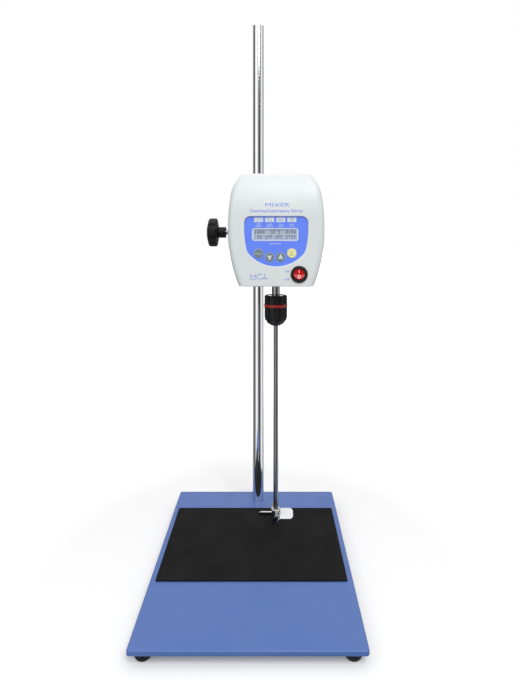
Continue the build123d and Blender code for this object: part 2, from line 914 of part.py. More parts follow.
rear_sleeve_blank = turned(
    [spindle_plane],
    [
        (cap_radius, ring_high + 0.2),
        (sleeve_radius, ring_high + 0.2),
        (sleeve_radius, chuck_top - 1.4),
        (sleeve_radius - 1.2, chuck_top),
        (sleeve_radius - 3, chuck_top),
        (cap_radius + 0.3, chuck_top - 1.5),
        (cap_radius, cap_low),
    ],
)
finish(fluted(rear_sleeve_blank, ring_high + 1.2, chuck_top), "chuck_rear_sleeve")

with BuildPart() as chuck_ring:
    with BuildSketch(Plane.XY.offset(ring_low)):
        with Locations((spindle_x, spindle_y)):
            Circle(sleeve_radius + 0.3)
            Circle(collar_radius + 0.1, mode=Mode.SUBTRACT)
    extrude(amount=ring_high - ring_low)
    fillet(edges().group_by(Axis.Z)[0].sort_by(SortBy.RADIUS)[-1], 0.5)
    fillet(edges().group_by(Axis.Z)[-1].sort_by(SortBy.RADIUS)[-1], 0.5)
finish(chuck_ring, "chuck_ring")

with BuildPart() as chuck_cap:
    with BuildSketch(Plane.XY.offset(cap_low)):
        with Locations((spindle_x, spindle_y)):
            Circle(cap_radius - 0.1)
            Circle(spindle_radius + running, mode=Mode.SUBTRACT)
    extrude(amount=1.4)
    chamfer(edges().group_by(Axis.Z)[-1].sort_by(SortBy.RADIUS)[-1], 0.4)
finish(chuck_cap, "chuck_cap")

# ---------------------------------------------------------------- stirring shaft

stirring_shaft = turned(
    [spindle_plane],
    [
        (0, shaft_low),
        (shaft_radius - 0.5, shaft_low),
        (shaft_radius, shaft_low + 0.5),
        (shaft_radius, shaft_high - 0.5),
        (shaft_radius - 0.5, shaft_high),
        (0, shaft_high),
    ],
)
finish(stirring_shaft, "stirring_shaft")

hub_middle = Vector(spindle_x, spindle_y, (hub_low + hub_high) / 2)
blade_root = hub_radius - 1
with BuildPart() as propeller:
    for turn in (0, 90, 180, 270):
        out = Vector(cos(radians(turn)), sin(radians(turn)), 0)
        across = Vector(-out.Y, out.X, 1)
        with BuildSketch(Plane(origin=hub_middle, x_dir=out, z_dir=out.cross(across))):
            with Locations((blade_root, 0)):
                Rectangle(propeller_radius - blade_root, blade_width, align=(Align.MIN, Align.CENTER))
            fillet(vertices().group_by(Axis.X)[-1], blade_corner)
        extrude(amount=blade_thick / 2, both=True)
    with Locations(Location(hub_middle)):
        Cylinder(hub_radius, hub_high - hub_low)
    chamfer(edges().filter_by(GeomType.CIRCLE).filter_by(lambda edge: edge.radius == hub_radius), 0.8)
    with BuildSketch(Plane.XY.offset(hub_low)):
        with Locations((spindle_x, spindle_y)):
            Circle(shaft_radius)
    extrude(amount=hub_high - hub_low, mode=Mode.SUBTRACT)
finish(propeller, "propeller")

# ---------------------------------------------------------------- control panel and boards

with BuildPart() as control_panel:
    with BuildSketch(front_plane(inner_face_y + panel_thick, head_x)):
        add(panel_outline(panel_overlap))
    extrude(amount=panel_thick)
    with BuildSketch(front_plane(inner_face_y + panel_thick)):
        with Locations((controls_x, display_z)):
            RectangleRounded(window_width, window_height, 1.4)
        for x, z, radius in keys.values():
            with Locations((x, z)):
                Circle(radius + 0.2)
    extrude(amount=panel_thick, mode=Mode.SUBTRACT)
finish(control_panel, "control_panel")

with BuildPart() as display_glass:
    with BuildSketch(front_plane(inner_face_y + panel_thick)):
        with Locations((controls_x, display_z)):
            RectangleRounded(window_width - 0.1, window_height - 0.1, 1.3)
    extrude(amount=panel_thick - 0.4)
finish(display_glass, "display_glass")

display_back = inner_face_y + panel_thick + 0.1
with BuildPart() as display_module:
    with BuildSketch(front_plane(display_back + 4)):
        with Locations((controls_x, display_z)):
            Rectangle(71.2, 25.4)
    extrude(amount=4)
    with BuildSketch(front_plane(display_back + 4 + board_thick)):
        with Locations((controls_x, display_z)):
            Rectangle(80, 36)
    extrude(amount=board_thick)
    with BuildSketch(front_plane(board_y - running)):
        with Locations((controls_x, display_z + 15.5)):
            Rectangle(42, 2.5)
    extrude(amount=board_y - running - display_back - 4 - board_thick)
finish(display_module, "display_module")

for name, (x, z, radius) in keys.items():
    with BuildPart() as key:
        with BuildSketch(front_plane(inner_face_y + panel_thick + 0.2)):
            with Locations((x, z)):
                Circle(radius)
        extrude(amount=panel_thick + 0.2 + key_proud)
        fillet(edges().group_by(Axis.Y)[0], 0.5)
        with BuildSketch(front_plane(inner_face_y + panel_thick + 1.4)):
            with Locations((x, z)):
                Circle(radius + 0.9)
        extrude(amount=1.2)
        with BuildSketch(front_plane(board_y - 2.3)):
            with Locations((x, z)):
                Circle(1.75)
        extrude(amount=board_y - 2.3 - inner_face_y - panel_thick - 1)
    finish(key, name)

with BuildPart() as control_board:
    with BuildSketch(front_plane(board_y + board_thick)):
        with Locations((head_x, post_z)):
            Rectangle(board_width, board_high_z - board_low_z)
        with Locations(*post_spots):
            Circle(1.6, mode=Mode.SUBTRACT)
    extrude(amount=board_thick)
    with BuildSketch(front_plane(board_y)):
        for x, z, radius in keys.values():
            with Locations((x, z)):
                Rectangle(6, 6)
    extrude(amount=3.4)
    with BuildSketch(front_plane(board_y - 1.4)):
        for x, z, radius in keys.values():
            with Locations((x, z)):
                Circle(2)
    extrude(amount=2, mode=Mode.SUBTRACT)
    with BuildSketch(front_plane(board_y + board_thick + 2)):
        with Locations((head_x, post_z), (head_x - 30, post_z + 12), (head_x + 30, post_z + 12)):
            Rectangle(12, 12)
    extrude(amount=2)
finish(control_board, "control_board")

standoff_spots = [(x, y) for x in (-12, 76) for y in (22, 108)]
deck_z = 485
with BuildPart() as board_standoffs:
    with BuildSketch(Plane.XY.offset(shelf_high)):
        with Locations(*standoff_spots):
            RegularPolygon(3.2, 6)
    extrude(amount=deck_z - shelf_high)
    with BuildSketch(Plane.XY.offset(deck_z)):
        with Locations(*standoff_spots):
            Circle(1.5)
    extrude(amount=-7, mode=Mode.SUBTRACT)
finish(board_standoffs, "board_standoffs")

with BuildPart() as driver_board:
    with BuildSketch(Plane.XY.offset(deck_z)):
        with Locations((head_x, 65)):
            Rectangle(98, 96)
        with Locations(*standoff_spots):
            Circle(1.6, mode=Mode.SUBTRACT)
    extrude(amount=board_thick)
    with BuildSketch(Plane.XY.offset(deck_z + board_thick)):
        with Locations((10, 90), (26, 90), (42, 90)):
            Circle(6.3)
    extrude(amount=20)
    with BuildSketch(Plane.XY.offset(deck_z + board_thick)):
        with Locations((56, 50)):
            Rectangle(24, 24)
        with Locations((10, 40)):
            Rectangle(20, 14)
    extrude(amount=10)
finish(driver_board, "driver_board")

board_screw_planes = [
    Plane(origin=(x, board_y + board_thick, z), x_dir=(1, 0, 0), z_dir=(0, 1, 0)) for x, z in post_spots
] + [Plane(origin=(x, y, deck_z + board_thick)) for x, y in standoff_spots]
board_screws = fasteners(board_screw_planes, (2.8, 1.9), (1.45, 6), 1.1)
finish(board_screws, "board_screws")

# ---------------------------------------------------------------- rocker switch and inlet

switch_depth = 16
with BuildPart() as switch_body:
    with BuildSketch(rocker_plane):
        Circle(bezel_radius)
    extrude(amount=bezel_proud)
    fillet(edges().group_by(Axis.Y)[0], 1.2)
    with BuildSketch(rocker_plane):
        Circle(10)
    extrude(amount=-switch_depth)
    with BuildSketch(rocker_plane.offset(bezel_proud)):
        Circle(rocker_well)
    extrude(amount=-bezel_proud - 9.5, mode=Mode.SUBTRACT)
    with BuildSketch(Plane(origin=(rocker_x, rocker_pivot_y, rocker_z), z_dir=(1, 0, 0))):
        Circle(1 + running)
    extrude(amount=9.4, both=True, mode=Mode.SUBTRACT)
    with BuildSketch(rocker_plane.offset(-switch_depth)):
        with Locations((0, 5), (0, 0), (0, -5)):
            Rectangle(4.8, 0.8)
    extrude(amount=-7)
finish(switch_body, "switch_body")

with BuildPart() as rocker:
    with Locations(Location((rocker_x, rocker_pivot_y, rocker_z))):
        Sphere(rocker_ball)
    with BuildSketch(rocker_plane.offset(8)):
        Circle(rocker_ball - 0.25)
    extrude(amount=-16, mode=Mode.INTERSECT)
    with BuildSketch(Plane(origin=(rocker_x, 0, rocker_z), z_dir=(1, 0, 0), x_dir=(0, 1, 0))):
        with BuildLine():
            Polyline(
                (rocker_top_y, 10),
                (rocker_top_y, 0),
                (rocker_top_y - 10 * tan(radians(rocker_tilt)), -10),
                (-13.6, -10),
                (-13.6, 10),
                close=True,
            )
        make_face()
    extrude(amount=10, both=True, mode=Mode.INTERSECT)
    with BuildSketch(Plane(origin=(rocker_x, rocker_pivot_y, rocker_z), z_dir=(1, 0, 0))):
        Circle(1)
    extrude(amount=9.2, both=True)
finish(rocker, "rocker")

with BuildPart() as power_inlet:
    with BuildSketch(front_plane(back_y + 2)):
        with Locations((inlet_x, inlet_z)):
            Circle(7)
    extrude(amount=2)
    chamfer(edges().group_by(Axis.Y)[-1], 0.6)
    with BuildSketch(front_plane(back_y)):
        with Locations((inlet_x, inlet_z)):
            Circle(inlet_radius)
    extrude(amount=15)
    with BuildSketch(front_plane(back_y + 2)):
        with Locations((inlet_x, inlet_z)):
            Circle(2.9)
    extrude(amount=12, mode=Mode.SUBTRACT)
    with BuildSketch(front_plane(back_y + 1)):
        with Locations((inlet_x, inlet_z)):
            Circle(1)
    extrude(amount=13)
finish(power_inlet, "power_inlet")

# ---------------------------------------------------------------- leads


def leads(routes):
    """Round leads, each on straight runs joined by arcs, given as (points, bend radii)."""
    with BuildPart() as group:
        for points, bends in routes:
            with BuildLine() as route:
                FilletPolyline(*points, radius=bends)
            with BuildSketch(Plane(origin=route.line @ 0, z_dir=route.line % 0)):
                Circle(lead_radius)
            sweep(path=route.line)
    return group


left_x = -26
lead_top_z = 500
motor_terminal_x = 5.9
board_terminal_x = -12
motor_routes = [
    (
        [
            (motor_terminal_x, y, 436),
            (left_x, y, 436),
            (left_x, y, lead_top_z),
            (board_terminal_x, y, lead_top_z),
            (board_terminal_x, y, deck_z + board_thick + 0.1),
        ],
        [14, 6, 6],
    )
    for y in (motor_y - 2, motor_y + 2)
]
terminal_y = face_y + switch_depth + 7.1
inlet_end_y = back_y - 15.1
inlet_routes = [
    (
        [
            (inlet_x, inlet_end_y, inlet_z + side * 2),
            (inlet_x, middle_y, inlet_z + side * 2),
            (rocker_x, middle_y - 38, rocker_z + side * 5),
            (rocker_x, terminal_y, rocker_z + side * 5),
        ],
        [bend, bend],
    )
    for side, middle_y, bend in ((1, 66, 24), (-1, 60, 20))
]
finish(leads(motor_routes + inlet_routes), "internal_leads")
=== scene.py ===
import json
import math

import bmesh
import bpy
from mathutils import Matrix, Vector
from mathutils.bvhtree import BVHTree


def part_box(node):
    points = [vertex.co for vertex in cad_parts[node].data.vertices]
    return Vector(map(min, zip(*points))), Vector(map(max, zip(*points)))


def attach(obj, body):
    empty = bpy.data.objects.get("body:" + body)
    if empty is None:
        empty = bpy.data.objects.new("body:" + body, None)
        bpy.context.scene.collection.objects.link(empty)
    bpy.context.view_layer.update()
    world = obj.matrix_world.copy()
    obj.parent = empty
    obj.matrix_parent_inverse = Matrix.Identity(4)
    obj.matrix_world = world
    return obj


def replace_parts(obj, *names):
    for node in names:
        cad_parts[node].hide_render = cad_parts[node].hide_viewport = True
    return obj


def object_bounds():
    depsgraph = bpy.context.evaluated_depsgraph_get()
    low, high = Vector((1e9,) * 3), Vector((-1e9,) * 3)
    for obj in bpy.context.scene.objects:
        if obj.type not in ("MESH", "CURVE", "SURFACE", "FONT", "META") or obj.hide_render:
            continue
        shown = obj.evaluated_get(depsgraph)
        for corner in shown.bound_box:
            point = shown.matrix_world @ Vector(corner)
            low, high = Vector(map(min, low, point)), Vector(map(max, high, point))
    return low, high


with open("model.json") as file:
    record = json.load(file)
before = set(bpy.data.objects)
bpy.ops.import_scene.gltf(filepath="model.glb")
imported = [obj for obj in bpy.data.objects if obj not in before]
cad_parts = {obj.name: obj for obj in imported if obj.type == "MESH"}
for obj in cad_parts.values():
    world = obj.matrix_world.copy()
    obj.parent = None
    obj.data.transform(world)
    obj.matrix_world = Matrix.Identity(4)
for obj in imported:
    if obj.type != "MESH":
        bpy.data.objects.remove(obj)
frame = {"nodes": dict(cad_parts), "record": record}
cad_low, cad_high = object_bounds()
nodes = frame["nodes"]
mm = 0.001


# ---------------------------------------------------------------- materials


def srgb(red, green, blue):
    """A colour given as it looks on a screen, 0 to 255, in the shader's linear values."""
    parts = []
    for value in (red, green, blue):
        c = value / 255
        parts.append(c / 12.92 if c <= 0.04045 else ((c + 0.055) / 1.055) ** 2.4)
    return (*parts, 1.0)


def shaded(colour, factor):
    """The same colour, darker or lighter."""
    return (*[min(1.0, c * factor) for c in colour[:3]], 1.0)


class Surface:
    """A node material built up in layers on one Principled shader."""

    def __init__(self, name, colour, roughness, metallic=0.0, specular=0.5):
        self.material = bpy.data.materials.new(name)
        self.material.use_nodes = True
        self.nodes = self.material.node_tree.nodes
        self.links = self.material.node_tree.links
        self.shader = self.nodes["Principled BSDF"]
        self.shader.inputs["Base Color"].default_value = colour
        self.shader.inputs["Roughness"].default_value = roughness
        self.shader.inputs["Metallic"].default_value = metallic
        self.shader.inputs["Specular IOR Level"].default_value = specular
        self.coordinates = self.nodes.new("ShaderNodeTexCoord").outputs["Object"]
        self.colour = None
        self.base = colour
        self.height = None

    def constant(self, **values):
        """Set plain numbers or colours on the shader's own sockets."""
        for key, value in values.items():
            self.shader.inputs[key.replace("_", " ")].default_value = value
        return self

    def noise(self, scale, detail=4.0, stretch=(1, 1, 1), rough=0.55):
        """A noise pattern in the object's own space; scale is in features per metre."""
        mapping = self.nodes.new("ShaderNodeMapping")
        mapping.inputs["Scale"].default_value = stretch
        self.links.new(self.coordinates, mapping.inputs["Vector"])
        pattern = self.nodes.new("ShaderNodeTexNoise")
        pattern.inputs["Scale"].default_value = scale
        pattern.inputs["Detail"].default_value = detail
        pattern.inputs["Roughness"].default_value = rough
        self.links.new(mapping.outputs["Vector"], pattern.inputs["Vector"])
        return pattern.outputs["Fac"]

    def spots(self, scale):
        """A pattern of small cells, such as moulded grain."""
        pattern = self.nodes.new("ShaderNodeTexVoronoi")
        pattern.feature = "SMOOTH_F1"
        pattern.inputs["Scale"].default_value = scale
        self.links.new(self.coordinates, pattern.inputs["Vector"])
        return pattern.outputs["Distance"]

    def ranged(self, value, low, high, to_low=0.0, to_high=1.0):
        """Spread a pattern's values over a new range."""
        node = self.nodes.new("ShaderNodeMapRange")
        node.inputs["From Min"].default_value = low
        node.inputs["From Max"].default_value = high
        node.inputs["To Min"].default_value = to_low
        node.inputs["To Max"].default_value = to_high
        self.links.new(value, node.inputs["Value"])
        return node.outputs["Result"]

    def edges(self, radius):
        """A mask that is 1 along sharp edges: where a bevelled normal leaves the true one."""
        bevel = self.nodes.new("ShaderNodeBevel")
        bevel.samples = 6
        bevel.inputs["Radius"].default_value = radius
        geometry = self.nodes.new("ShaderNodeNewGeometry")
        dot = self.nodes.new("ShaderNodeVectorMath")
        dot.operation = "DOT_PRODUCT"
        self.links.new(bevel.outputs["Normal"], dot.inputs[0])
        self.links.new(geometry.outputs["Normal"], dot.inputs[1])
        flat, sharp = 0.98, 0.75
        return self.ranged(dot.outputs["Value"], flat, sharp)

    def mottle(self, mask, colour, amount=1.0):
        """Mix another colour in where the mask is high."""
        mix = self.nodes.new("ShaderNodeMix")
        mix.data_type = "RGBA"
        factor = self.ranged(mask, 0.0, 1.0, 0.0, amount)
        self.links.new(factor, mix.inputs["Factor"])
        if self.colour is None:
            mix.inputs["A"].default_value = self.base
        else:
            self.links.new(self.colour, mix.inputs["A"])
        mix.inputs["B"].default_value = colour
        self.colour = mix.outputs["Result"]
        self.links.new(self.colour, self.shader.inputs["Base Color"])
        return self

    def polish(self, mask, low, high):
        """Let the roughness follow a mask, between two values."""
        result = self.ranged(mask, 0.3, 0.7, low, high)
        self.links.new(result, self.shader.inputs["Roughness"])
        return self

    def relief(self, pattern, depth, strength=1.0):
        """Add a bump layer of this depth in metres."""
        bump = self.nodes.new("ShaderNodeBump")
        bump.inputs["Distance"].default_value = depth
        bump.inputs["Strength"].default_value = strength
        self.links.new(pattern, bump.inputs["Height"])
        if self.height is not None:
            self.links.new(self.height, bump.inputs["Normal"])
        self.height = bump.outputs["Normal"]
        self.links.new(self.height, self.shader.inputs["Normal"])
        return self


def plastic(name, colour, roughness, grain=3200, depth=0.00003, wear=None, specular=0.45):
    """Moulded plastic: fine grain, faint mottling, slightly uneven gloss, paler rubbed edges."""
    s = Surface(name, colour, roughness, specular=specular)
    s.mottle(s.ranged(s.noise(18), 0.35, 0.7), shaded(colour, 0.9), 0.5)
    s.mottle(s.ranged(s.noise(240, 3), 0.45, 0.75), shaded(colour, 1.08), 0.35)
    if wear:
        rubbed = s.nodes.new("ShaderNodeMath")
        rubbed.operation = "MULTIPLY"
        s.links.new(s.edges(0.0006), rubbed.inputs[0])
        s.links.new(s.ranged(s.noise(90), 0.4, 0.65), rubbed.inputs[1])
        s.mottle(rubbed.outputs["Value"], wear, 0.5)
    s.polish(s.noise(60), roughness - 0.06, roughness + 0.08)
    s.relief(s.spots(grain), depth, 0.5)
    return s


def metal(name, colour, roughness, stretch=(1, 1, 1), scale=900, depth=0.00001, stain=0.82):
    """Bare metal: machining lines along the stretched direction, fine scratches, faint stains."""
    s = Surface(name, colour, roughness, metallic=1.0)
    s.mottle(s.ranged(s.noise(25), 0.4, 0.75), shaded(colour, stain), 0.5)
    s.mottle(s.ranged(s.noise(scale, 2, stretch), 0.5, 0.8), shaded(colour, 0.88), 0.4)
    s.polish(s.noise(scale * 0.5, 3, stretch), roughness * 0.75, roughness * 1.35)
    s.relief(s.noise(scale, 3, stretch), depth, 0.4)
    return s


def rubber(name, colour, roughness, grain=1800, depth=0.00008):
    """Rubber: matte, with a fine pitted skin and a dusty bloom."""
    s = Surface(name, colour, roughness, specular=0.18)
    s.mottle(s.ranged(s.noise(14, 5), 0.45, 0.75), shaded(colour, 1.7), 0.5)
    s.mottle(s.ranged(s.noise(700, 2), 0.55, 0.8), shaded(colour, 0.45), 0.7)
    s.mottle(s.ranged(s.noise(1100, 2), 0.58, 0.72), shaded(colour, 3.2), 0.45)
    s.polish(s.noise(30), roughness - 0.08, roughness + 0.1)
    s.relief(s.noise(grain, 3), depth, 0.7)
    return s


def print_ink(name, colour):
    """Screen-printed ink: thin, slightly uneven in density."""
    s = Surface(name, colour, 0.45)
    s.mottle(s.ranged(s.noise(900, 2), 0.45, 0.7), shaded(colour, 0.86), 0.6)
    s.polish(s.noise(400), 0.38, 0.55)
    s.relief(s.noise(3000, 2), 0.00001, 0.3)
    return s


plate_blue = srgb(77, 109, 175)
plate_paint = Surface("powder_coat", plate_blue, 0.4, specular=0.5)
plate_paint.mottle(plate_paint.ranged(plate_paint.noise(9, 5), 0.4, 0.7), srgb(84, 115, 177), 0.6)
plate_paint.mottle(plate_paint.ranged(plate_paint.noise(2600, 2), 0.55, 0.75), srgb(61, 91, 158), 0.35)
# Paler blue along every sharp edge: a painted edge highlight, also meant as worn coating on the edges.
plate_paint.mottle(plate_paint.edges(0.0012), srgb(120, 150, 210), 0.35)
plate_paint.polish(plate_paint.noise(35), 0.34, 0.5)
plate_paint.relief(plate_paint.spots(900), 0.0001, 0.7)
plate_paint.relief(plate_paint.noise(300, 2), 0.0001, 0.5)

housing_white = srgb(222, 227, 227)
housing = Surface("painted_housing", housing_white, 0.42, specular=0.5)
housing.mottle(housing.ranged(housing.noise(11, 4), 0.4, 0.75), srgb(216, 222, 222), 0.7)
housing.mottle(housing.ranged(housing.noise(420, 3), 0.55, 0.8), srgb(210, 215, 216), 0.35)
housing.polish(housing.noise(26), 0.36, 0.5)
housing.relief(housing.spots(1900), 0.00004, 0.35)

panel_film = Surface("panel_film", srgb(104, 138, 250), 0.35, specular=0.4)
panel_film.mottle(panel_film.ranged(panel_film.noise(20, 3), 0.4, 0.7), srgb(99, 133, 247), 0.6)
panel_film.mottle(panel_film.ranged(panel_film.noise(1500, 2), 0.5, 0.75), srgb(113, 146, 252), 0.35)
panel_film.polish(panel_film.noise(70), 0.3, 0.42)
panel_film.relief(panel_film.spots(5200), 0.00001, 0.5)

rod_steel = Surface("polished_rod", (0.78, 0.785, 0.8, 1), 0.1, metallic=1.0)
rod_steel.mottle(rod_steel.ranged(rod_steel.noise(30, 3), 0.45, 0.75), (0.68, 0.69, 0.7, 1), 0.4)
rod_steel.polish(rod_steel.noise(500, 3, (1, 1, 14)), 0.07, 0.17)
rod_steel.relief(rod_steel.noise(380, 3, (1, 1, 16)), 0.000006, 0.35)

display_cover = Surface("display_cover", (0.75, 0.8, 0.86, 1), 0.06)
display_cover.constant(Alpha=0.06)
display_cover.mottle(display_cover.ranged(display_cover.noise(300), 0.5, 0.8), (0.6, 0.66, 0.74, 1), 0.3)
display_cover.polish(display_cover.noise(120), 0.04, 0.1)

laminate = Surface("board_laminate", srgb(28, 96, 58), 0.35)
laminate.mottle(laminate.ranged(laminate.noise(260, 2), 0.5, 0.56), srgb(44, 128, 78), 0.7)
laminate.mottle(laminate.ranged(laminate.spots(420), 0.0, 0.16, 1.0, 0.0), srgb(188, 180, 150), 0.6)
laminate.relief(laminate.noise(700, 2), 0.00005, 0.4)

rocker_red = Surface("rocker_red", srgb(186, 6, 4), 0.34, specular=0.2)
rocker_red.constant(Coat_Weight=0.1, Coat_Roughness=0.1, Subsurface_Weight=0.2)
rocker_red.constant(Subsurface_Radius=(0.004, 0.0008, 0.0005), Subsurface_Scale=1.0)
# The emission is a faint painted glow that deepens the red; it is not a lamp in the switch.
rocker_red.constant(Emission_Color=srgb(255, 16, 6), Emission_Strength=0.05)
rocker_red.mottle(rocker_red.ranged(rocker_red.noise(160), 0.4, 0.7), srgb(176, 10, 8), 0.6)
rocker_red.relief(rocker_red.noise(900, 2), 0.00001, 0.3)

black_wear = srgb(72, 72, 74)
surfaces = {
    "plate_paint": plate_paint,
    "mat_rubber": rubber("mat_rubber", srgb(17, 17, 17), 0.9, 1500, 0.00015),
    "foot_rubber": rubber("foot_rubber", srgb(34, 34, 35), 0.55),
    "rod_steel": rod_steel,
    "screw_steel": metal("zinc_screw", (0.55, 0.55, 0.56, 1), 0.3, scale=700),
    "housing_plastic": housing,
    "panel_film": panel_film,
    "display_glass": display_cover,
    "key_grey": plastic("key_grey", srgb(118, 133, 140), 0.42, 2600, 0.00002),
    "key_yellow": plastic("key_yellow", srgb(240, 234, 172), 0.42, 2600, 0.00002),
    "switch_black": plastic("switch_black", srgb(26, 26, 27), 0.3, 3600, 0.00001, specular=0.4),
    "rocker_red": rocker_red,
    "chuck_black": plastic("chuck_black", srgb(17, 17, 18), 0.42, 2300, 0.00004, black_wear, 0.22),
    "chuck_red": plastic("chuck_red", srgb(176, 30, 36), 0.4, 2600, 0.00002, srgb(205, 90, 90)),
    "chuck_steel": metal("chuck_steel", (0.06, 0.06, 0.065, 1), 0.38, (1, 1, 8), 600),
    "knob_black": plastic("knob_black", srgb(14, 14, 15), 0.45, 1700, 0.00006, black_wear, 0.2),
    "bright_steel": metal("bright_steel", (0.5, 0.505, 0.515, 1), 0.13, (1, 1, 14), 420, 0.000004),
    "shaft_steel": metal("shaft_steel", (0.26, 0.262, 0.27, 1), 0.2, (1, 1, 14), 420, 0.000004),
    "sheet_steel": metal("sheet_steel", (0.58, 0.59, 0.6, 1), 0.36, scale=500),
    "cast_aluminium": metal("cast_aluminium", (0.66, 0.66, 0.67, 1), 0.5, scale=1400, depth=0.00006),
    "bearing_steel": metal("bearing_steel", (0.72, 0.73, 0.74, 1), 0.12, (1, 1, 10), 600),
    "nylon": plastic("nylon", srgb(226, 224, 214), 0.5, 2000, 0.00003),
    "board_laminate": laminate,
    "magnet_ferrite": metal("magnet_ferrite", (0.07, 0.07, 0.075, 1), 0.6, scale=1500, depth=0.00005),
    "rotor_iron": metal("rotor_iron", (0.3, 0.28, 0.27, 1), 0.45, (1, 1, 30), 300, 0.00006),
    "belt_rubber": rubber("belt_rubber", srgb(30, 30, 30), 0.7),
    "seal_rubber": rubber("seal_rubber", srgb(26, 26, 27), 0.6),
    "pad_brass": metal("turned_brass", (0.72, 0.52, 0.22, 1), 0.28, (14, 1, 1), 500),
    "lead_cover": rubber("lead_cover", srgb(30, 30, 32), 0.5),
}
for part in frame["record"]["subparts"]:
    shell = nodes[part["node"]]
    shell.data.materials.clear()
    shell.data.materials.append(surfaces[part["material_slot"]].material)

white_ink = print_ink("white_ink", srgb(214, 222, 233))
blue_ink = print_ink("blue_ink", srgb(112, 142, 240))
dark_ink = print_ink("dark_ink", srgb(76, 88, 104))
mark_ink = print_ink("mark_ink", srgb(238, 214, 214))
ring_ink = print_ink("ring_ink", srgb(196, 206, 208))
icon_ink = print_ink("icon_ink", srgb(132, 146, 158))

liquid_crystal = Surface("liquid_crystal", srgb(178, 194, 206), 0.3)
liquid_crystal.constant(Emission_Color=srgb(170, 190, 205), Emission_Strength=0.12)
liquid_crystal.mottle(liquid_crystal.ranged(liquid_crystal.noise(60, 2), 0.35, 0.7), srgb(166, 183, 198), 0.7)
liquid_crystal.relief(liquid_crystal.noise(4000, 2), 0.000005, 0.3)
lit_dot = print_ink("lit_dot", srgb(24, 28, 104))
idle_dot = print_ink("idle_dot", srgb(170, 186, 199))


# ---------------------------------------------------------------- mesh helpers


def piece(name, points, faces, surface, body):
    """A mesh piece that rides on a body."""
    mesh = bpy.data.meshes.new(name)
    mesh.from_pydata([tuple(p) for p in points], [], faces)
    mesh.validate()
    mesh.materials.append(surface.material)
    made = bpy.data.objects.new(name, mesh)
    bpy.context.scene.collection.objects.link(made)
    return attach(made, body)


class Face:
    """Where printing lands on a CAD node: points drop on it from the front, along +Y."""

    def __init__(self, node, body):
        mesh = nodes[node].data
        points = [v.co.copy() for v in mesh.vertices]
        self.tree = BVHTree.FromPolygons(points, [tuple(p.vertices) for p in mesh.polygons])
        self.body = body
        self.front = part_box(node)[0].y

    def drop(self, x, z, lift):
        """The point on the node in front of which x, z lies, lifted off by lift."""
        hit = self.tree.ray_cast(Vector((x, self.front - 0.1, z)), Vector((0, 1, 0)))[0]
        depth = self.front if hit is None else hit.y
        return Vector((x, depth - lift, z))


def printed(name, shapes, face, surface, lift=0.00005):
    """Print flat shapes on a face. A shape is (outline,) or (outline, inner outline), in x and z."""
    points, faces = [], []
    for shape in shapes:
        start = len(points)
        count = len(shape[0])
        for loop in shape:
            points += [face.drop(x, z, lift) for x, z in loop]
        if len(shape) == 1:
            faces.append(tuple(range(start, start + count)))
        else:
            for i in range(count):
                j = (i + 1) % count
                faces.append((start + i, start + j, start + count + j, start + count + i))
    made = piece(name, points, faces, surface, face.body)
    turn_to_front(made.data)
    return made


def turn_to_front(mesh):
    """Make every face of a printed mesh look to the front."""
    form = bmesh.new()
    form.from_mesh(mesh)
    form.normal_update()
    bmesh.ops.reverse_faces(form, faces=[f for f in form.faces if f.normal.y > 0])
    form.to_mesh(mesh)
    form.free()


def rounded(cx, cz, width, height, radius, steps=6):
    """A rounded rectangle's outline about a centre."""
    loop = []
    for quarter, (sx, sz) in enumerate(((1, 1), (-1, 1), (-1, -1), (1, -1))):
        for step in range(steps + 1):
            a = math.radians(90 * (quarter + step / steps))
            x = cx + sx * (width / 2 - radius) + radius * math.cos(a)
            z = cz + sz * (height / 2 - radius) + radius * math.sin(a)
            loop.append((x, z))
    return loop


def circle(cx, cz, radius, steps=48, stretch=1.0):
    """A circle's outline, or an upright oval's."""
    turns = [2 * math.pi * i / steps for i in range(steps)]
    return [(cx + radius * math.cos(a), cz + radius * stretch * math.sin(a)) for a in turns]


def stroke(path, width):
    """The outline of a line of this width along a path of x, z points."""
    left, right = [], []
    for i, (x, z) in enumerate(path):
        before = path[max(i - 1, 0)]
        after = path[min(i + 1, len(path) - 1)]
        dx, dz = after[0] - before[0], after[1] - before[1]
        size = math.hypot(dx, dz) or 1.0
        nx, nz = -dz / size * width / 2, dx / size * width / 2
        left.append((x + nx, z + nz))
        right.append((x - nx, z - nz))
    return left, right


def strokes(name, paths, width, face, surface, lift=0.00008):
    """Print lines of one width along several paths."""
    points, faces = [], []
    for path in paths:
        left, right = stroke(path, width)
        start = len(points)
        points += [face.drop(x, z, lift) for x, z in left + right]
        count = len(path)
        for i in range(count - 1):
            faces.append((start + i, start + i + 1, start + count + i + 1, start + count + i))
    made = piece(name, points, faces, surface, face.body)
    turn_to_front(made.data)
    return made


def arc(cx, cz, radius, start, end, steps=18, stretch=1.0):
    """Points along an arc, its angles in degrees."""
    turns = [math.radians(start + (end - start) * i / steps) for i in range(steps + 1)]
    return [(cx + radius * math.cos(a) * stretch, cz + radius * math.sin(a)) for a in turns]


